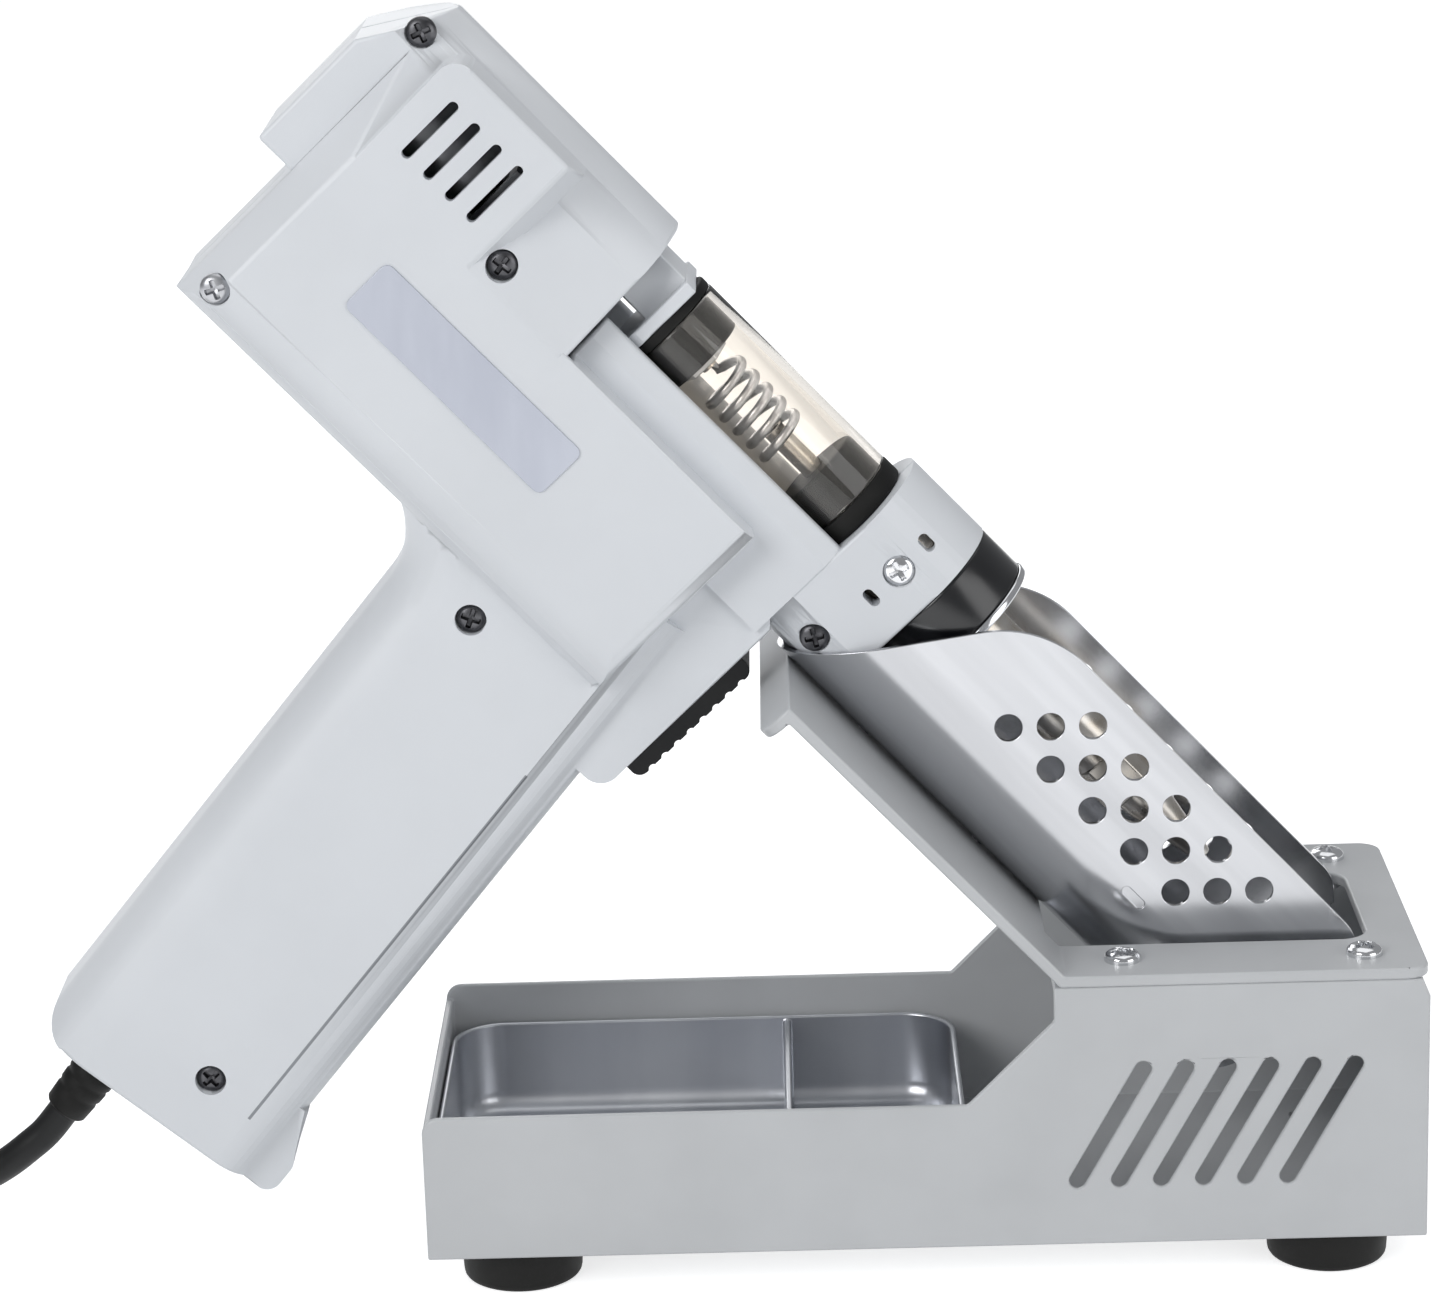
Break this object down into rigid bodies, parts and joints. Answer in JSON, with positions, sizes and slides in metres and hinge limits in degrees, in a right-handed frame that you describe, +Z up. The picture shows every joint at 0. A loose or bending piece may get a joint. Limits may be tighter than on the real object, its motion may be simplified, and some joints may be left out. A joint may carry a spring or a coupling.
{
  "type": "desoldering iron",
  "caption": "Hand-held desoldering iron with built-in suction pump, glass collecting tube and trigger, resting nose down in a sheet-metal stand with solder tray.",
  "frame": {"origin": "on the table under the middle of the stand and gun together, measured without the mains lead", "axes": "+X along the stand towards its tall end, +Y across it away from the side with the label, +Z up"},
  "size_m": [0.4016, 0.0987, 0.2295],
  "materials": {
    "enamel": "satin",
    "bright_sheet": "gloss",
    "satin_tray": "satin",
    "chrome_screw": "gloss",
    "zinc_steel": "satin",
    "dark_screw": "satin",
    "black_rubber": "matte",
    "white_abs": "satin",
    "black_nylon": "satin",
    "black_gloss": "gloss",
    "silver_label": "gloss",
    "ceramic_white": "matte",
    "tool_steel": "gloss",
    "tube_glass": "gloss",
    "brass_part": "satin",
    "board_green": "satin",
    "cord_pvc": "satin",
    "lead_glass_fibre": "matte"
  },
  "bodies": {
    "stand": {"base_box": "enamel", "top_plate": "enamel", "plate_screws": "chrome_screw", "plate_nuts": "zinc_steel", "trough": "bright_sheet", "trough_rivets": "bright_sheet", "feet": "black_rubber", "foot_screws": "zinc_steel", "cord_run": "cord_pvc", "cord_coil": "cord_pvc", "cord_tail": "cord_pvc", "coil_tie": "black_nylon", "plug_body": "cord_pvc", "plug_blades": "brass_part"},
    "gun": {"shell_right": "white_abs", "shell_left": "white_abs", "case_screws": "dark_screw", "nose_screws": "chrome_screw", "label_plate": "silver_label", "heat_ring": "black_gloss", "heater_flange": "tool_steel", "heater_socket": "ceramic_white", "heater_barrel": "tool_steel", "heater_core": "ceramic_white", "barrel_nut": "dark_screw", "nozzle": "tool_steel", "suction_pipe": "zinc_steel", "front_seal": "black_rubber", "glass_tube": "tube_glass", "rear_seal": "black_rubber", "hex_nut": "zinc_steel", "baffle_coil": "zinc_steel", "retainer_spring": "zinc_steel", "air_pipe": "zinc_steel", "suction_hose": "black_rubber", "motor_can": "zinc_steel", "motor_cap": "black_nylon", "pump_frame": "zinc_steel", "pump_body": "black_nylon", "pump_head": "black_nylon", "pump_screws": "zinc_steel", "circuit_board": "board_green", "board_parts": "black_nylon", "switch_body": "black_nylon", "trigger_spring": "zinc_steel", "heater_leads": "lead_glass_fibre", "inner_lead": "cord_pvc", "cord_clamp": "black_nylon", "clamp_screws": "zinc_steel", "strain_relief": "black_rubber"},
    "tray": {"solder_tray": "satin_tray"},
    "retainer": {"tube_retainer": "white_abs"},
    "trigger": {"trigger": "black_nylon", "switch_plunger": "board_green"},
    "rotor": {"motor_shaft": "zinc_steel", "eccentric": "brass_part"},
    "pump_slider": {"pump_rod": "brass_part", "diaphragm": "black_rubber"}
  },
  "joints": [
    {"name": "tray_lift", "type": "slide", "parent": "stand", "child": "tray", "axis": [0, 0, 1], "range_m": [0, 0.02]},
    {"name": "gun_lift", "type": "slide", "parent": "stand", "child": "gun", "axis": [-0.682, 0, 0.7314], "range_m": [0, 0.09]},
    {"name": "retainer_slide", "type": "slide", "parent": "gun", "child": "retainer", "axis": [-0.682, 0, 0.7314], "range_m": [0, 0.006], "stiffness_N_per_m": 300, "springref_m": -0.004},
    {"name": "trigger_press", "type": "slide", "parent": "gun", "child": "trigger", "axis": [-0.682, 0, 0.7314], "range_m": [0, 0.003], "stiffness_N_per_m": 600, "springref_m": -0.003},
    {"name": "motor_spin", "type": "hinge", "parent": "gun", "child": "rotor", "pos_m": [-0.03698, 0, 0.19541], "axis": [0.682, 0, -0.7314], "continuous": true},
    {"name": "pump_stroke", "type": "slide", "parent": "gun", "child": "pump_slider", "axis": [0.7314, 0, 0.682], "range_m": [0, 0.002]}
  ]
}
